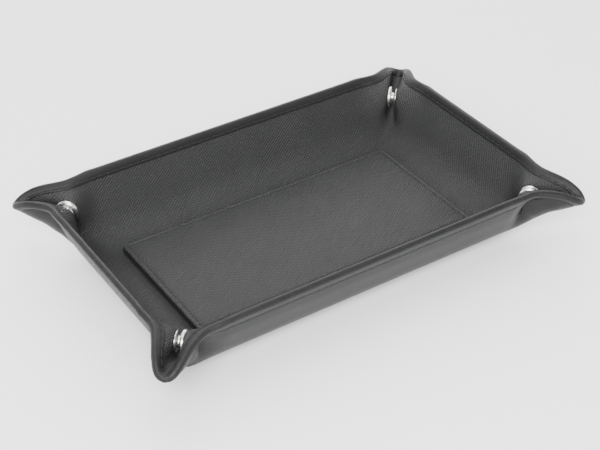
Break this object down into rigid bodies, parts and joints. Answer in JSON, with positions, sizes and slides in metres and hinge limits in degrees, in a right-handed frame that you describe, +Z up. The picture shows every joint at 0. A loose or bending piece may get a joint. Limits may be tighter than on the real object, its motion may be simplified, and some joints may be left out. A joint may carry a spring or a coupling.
{
  "type": "folding dice tray",
  "caption": "Rectangular snap-up tray of black stitched faux leather: a raised centre panel, four folding walls and pinched ears held by press studs.",
  "frame": {"origin": "centre of the underside, on the surface the tray stands on", "axes": "+X along the tray's length, +Y across its width, +Z up out of the tray"},
  "size_m": [0.2202, 0.1432, 0.0345],
  "materials": {
    "skin": "fine-grained black faux leather, satin",
    "lining": "cross-grained black faux leather, semi-matt",
    "board": "grey fibreboard, matt, out of sight",
    "thread": "twisted black thread",
    "metal": "bright nickel plate"
  },
  "bodies": {
    "base": {"base_skin": "skin", "base_board": "board", "base_lining": "lining", "panel_cover": "lining", "panel_board": "board", "panel_thread": "thread"},
    "front_wall": {"front_wall_skin": "skin", "front_wall_stiffener": "board", "front_wall_lining": "lining"},
    "back_wall": {"back_wall_skin": "skin", "back_wall_stiffener": "board", "back_wall_lining": "lining"},
    "left_wall": {"left_wall_skin": "skin", "left_wall_stiffener": "board", "left_wall_lining": "lining"},
    "right_wall": {"right_wall_skin": "skin", "right_wall_stiffener": "board", "right_wall_lining": "lining"},
    "front_left_ear_front": {"front_left_ear_front_skin": "skin", "front_left_ear_front_lining": "lining", "front_left_snap_cap": "metal", "front_left_snap_socket": "metal"},
    "front_left_ear_front_strip": {"front_left_ear_front_strip": "skin"},
    "front_left_ear_left": {"front_left_ear_left_skin": "skin", "front_left_ear_left_lining": "lining", "front_left_snap_stud": "metal", "front_left_snap_post": "metal"},
    "front_left_ear_left_strip": {"front_left_ear_left_strip": "skin"},
    "back_left_ear_back": {"back_left_ear_back_skin": "skin", "back_left_ear_back_lining": "lining", "back_left_snap_cap": "metal", "back_left_snap_socket": "metal"},
    "back_left_ear_back_strip": {"back_left_ear_back_strip": "skin"},
    "back_left_ear_left": {"back_left_ear_left_skin": "skin", "back_left_ear_left_lining": "lining", "back_left_snap_stud": "metal", "back_left_snap_post": "metal"},
    "back_left_ear_left_strip": {"back_left_ear_left_strip": "skin"},
    "front_right_ear_front": {"front_right_ear_front_skin": "skin", "front_right_ear_front_lining": "lining", "front_right_snap_cap": "metal", "front_right_snap_socket": "metal"},
    "front_right_ear_front_strip": {"front_right_ear_front_strip": "skin"},
    "front_right_ear_right": {"front_right_ear_right_skin": "skin", "front_right_ear_right_lining": "lining", "front_right_snap_stud": "metal", "front_right_snap_post": "metal"},
    "front_right_ear_right_strip": {"front_right_ear_right_strip": "skin"},
    "back_right_ear_back": {"back_right_ear_back_skin": "skin", "back_right_ear_back_lining": "lining", "back_right_snap_cap": "metal", "back_right_snap_socket": "metal"},
    "back_right_ear_back_strip": {"back_right_ear_back_strip": "skin"},
    "back_right_ear_right": {"back_right_ear_right_skin": "skin", "back_right_ear_right_lining": "lining", "back_right_snap_stud": "metal", "back_right_snap_post": "metal"},
    "back_right_ear_right_strip": {"back_right_ear_right_strip": "skin"}
  },
  "joints": [
    {"name": "front_wall_fold", "type": "hinge", "parent": "base", "child": "front_wall", "pos_m": [0, -0.046, 0.006], "axis": [1, 0, 0], "range_deg": [0, 65]},
    {"name": "back_wall_fold", "type": "hinge", "parent": "base", "child": "back_wall", "pos_m": [0, 0.046, 0.006], "axis": [-1, 0, 0], "range_deg": [0, 65]},
    {"name": "left_wall_fold", "type": "hinge", "parent": "base", "child": "left_wall", "pos_m": [-0.0845, 0, 0.006], "axis": [0, -1, 0], "range_deg": [0, 65]},
    {"name": "right_wall_fold", "type": "hinge", "parent": "base", "child": "right_wall", "pos_m": [0.0845, 0, 0.006], "axis": [0, 1, 0], "range_deg": [0, 65]},
    {"name": "front_left_ear_front_crease", "type": "hinge", "parent": "front_wall", "child": "front_left_ear_front", "pos_m": [-0.0845, -0.046, 0.006], "axis": [0.3893, 0.3893, -0.8348], "range_deg": [0, 50.15]},
    {"name": "front_left_ear_front_strip_fold", "type": "hinge", "parent": "front_left_ear_front", "child": "front_left_ear_front_strip", "pos_m": [-0.08206, -0.04667, 0.00781], "axis": [-0.5827, -0.5827, 0.5665], "range_deg": [0, 90]},
    {"name": "front_left_ear_left_crease", "type": "hinge", "parent": "left_wall", "child": "front_left_ear_left", "pos_m": [-0.0845, -0.046, 0.006], "axis": [-0.3893, -0.3893, 0.8348], "range_deg": [0, 50.15]},
    {"name": "front_left_ear_left_strip_fold", "type": "hinge", "parent": "front_left_ear_left", "child": "front_left_ear_left_strip", "pos_m": [-0.08517, -0.04356, 0.00781], "axis": [0.5827, 0.5827, -0.5665], "range_deg": [0, 90]},
    {"name": "back_left_ear_back_crease", "type": "hinge", "parent": "back_wall", "child": "back_left_ear_back", "pos_m": [-0.0845, 0.046, 0.006], "axis": [-0.3893, 0.3893, 0.8348], "range_deg": [0, 50.15]},
    {"name": "back_left_ear_back_strip_fold", "type": "hinge", "parent": "back_left_ear_back", "child": "back_left_ear_back_strip", "pos_m": [-0.08206, 0.04667, 0.00781], "axis": [0.5827, -0.5827, -0.5665], "range_deg": [0, 90]},
    {"name": "back_left_ear_left_crease", "type": "hinge", "parent": "left_wall", "child": "back_left_ear_left", "pos_m": [-0.0845, 0.046, 0.006], "axis": [0.3893, -0.3893, -0.8348], "range_deg": [0, 50.15]},
    {"name": "back_left_ear_left_strip_fold", "type": "hinge", "parent": "back_left_ear_left", "child": "back_left_ear_left_strip", "pos_m": [-0.08517, 0.04356, 0.00781], "axis": [-0.5827, 0.5827, 0.5665], "range_deg": [0, 90]},
    {"name": "front_right_ear_front_crease", "type": "hinge", "parent": "front_wall", "child": "front_right_ear_front", "pos_m": [0.0845, -0.046, 0.006], "axis": [0.3893, -0.3893, 0.8348], "range_deg": [0, 50.15]},
    {"name": "front_right_ear_front_strip_fold", "type": "hinge", "parent": "front_right_ear_front", "child": "front_right_ear_front_strip", "pos_m": [0.08206, -0.04667, 0.00781], "axis": [-0.5827, 0.5827, -0.5665], "range_deg": [0, 90]},
    {"name": "front_right_ear_right_crease", "type": "hinge", "parent": "right_wall", "child": "front_right_ear_right", "pos_m": [0.0845, -0.046, 0.006], "axis": [-0.3893, 0.3893, -0.8348], "range_deg": [0, 50.15]},
    {"name": "front_right_ear_right_strip_fold", "type": "hinge", "parent": "front_right_ear_right", "child": "front_right_ear_right_strip", "pos_m": [0.08517, -0.04356, 0.00781], "axis": [0.5827, -0.5827, 0.5665], "range_deg": [0, 90]},
    {"name": "back_right_ear_back_crease", "type": "hinge", "parent": "back_wall", "child": "back_right_ear_back", "pos_m": [0.0845, 0.046, 0.006], "axis": [-0.3893, -0.3893, -0.8348], "range_deg": [0, 50.15]},
    {"name": "back_right_ear_back_strip_fold", "type": "hinge", "parent": "back_right_ear_back", "child": "back_right_ear_back_strip", "pos_m": [0.08206, 0.04667, 0.00781], "axis": [0.5827, 0.5827, 0.5665], "range_deg": [0, 90]},
    {"name": "back_right_ear_right_crease", "type": "hinge", "parent": "right_wall", "child": "back_right_ear_right", "pos_m": [0.0845, 0.046, 0.006], "axis": [0.3893, 0.3893, 0.8348], "range_deg": [0, 50.15]},
    {"name": "back_right_ear_right_strip_fold", "type": "hinge", "parent": "back_right_ear_right", "child": "back_right_ear_right_strip", "pos_m": [0.08517, 0.04356, 0.00781], "axis": [-0.5827, -0.5827, -0.5665], "range_deg": [0, 90]}
  ],
  "couplings": [
    {"joint": "back_wall_fold", "follows": "front_wall_fold", "ratio": 1},
    {"joint": "left_wall_fold", "follows": "front_wall_fold", "ratio": 1},
    {"joint": "right_wall_fold", "follows": "front_wall_fold", "ratio": 1},
    {"joint": "front_left_ear_front_crease", "follows": "front_wall_fold", "ratio": 0.77145},
    {"joint": "front_left_ear_front_strip_fold", "follows": "front_wall_fold", "ratio": 1.3846},
    {"joint": "front_left_ear_left_crease", "follows": "front_wall_fold", "ratio": 0.77145},
    {"joint": "front_left_ear_left_strip_fold", "follows": "front_wall_fold", "ratio": 1.3846},
    {"joint": "back_left_ear_back_crease", "follows": "front_wall_fold", "ratio": 0.77145},
    {"joint": "back_left_ear_back_strip_fold", "follows": "front_wall_fold", "ratio": 1.3846},
    {"joint": "back_left_ear_left_crease", "follows": "front_wall_fold", "ratio": 0.77145},
    {"joint": "back_left_ear_left_strip_fold", "follows": "front_wall_fold", "ratio": 1.3846},
    {"joint": "front_right_ear_front_crease", "follows": "front_wall_fold", "ratio": 0.77145},
    {"joint": "front_right_ear_front_strip_fold", "follows": "front_wall_fold", "ratio": 1.3846},
    {"joint": "front_right_ear_right_crease", "follows": "front_wall_fold", "ratio": 0.77145},
    {"joint": "front_right_ear_right_strip_fold", "follows": "front_wall_fold", "ratio": 1.3846},
    {"joint": "back_right_ear_back_crease", "follows": "front_wall_fold", "ratio": 0.77145},
    {"joint": "back_right_ear_back_strip_fold", "follows": "front_wall_fold", "ratio": 1.3846},
    {"joint": "back_right_ear_right_crease", "follows": "front_wall_fold", "ratio": 0.77145},
    {"joint": "back_right_ear_right_strip_fold", "follows": "front_wall_fold", "ratio": 1.3846}
  ]
}
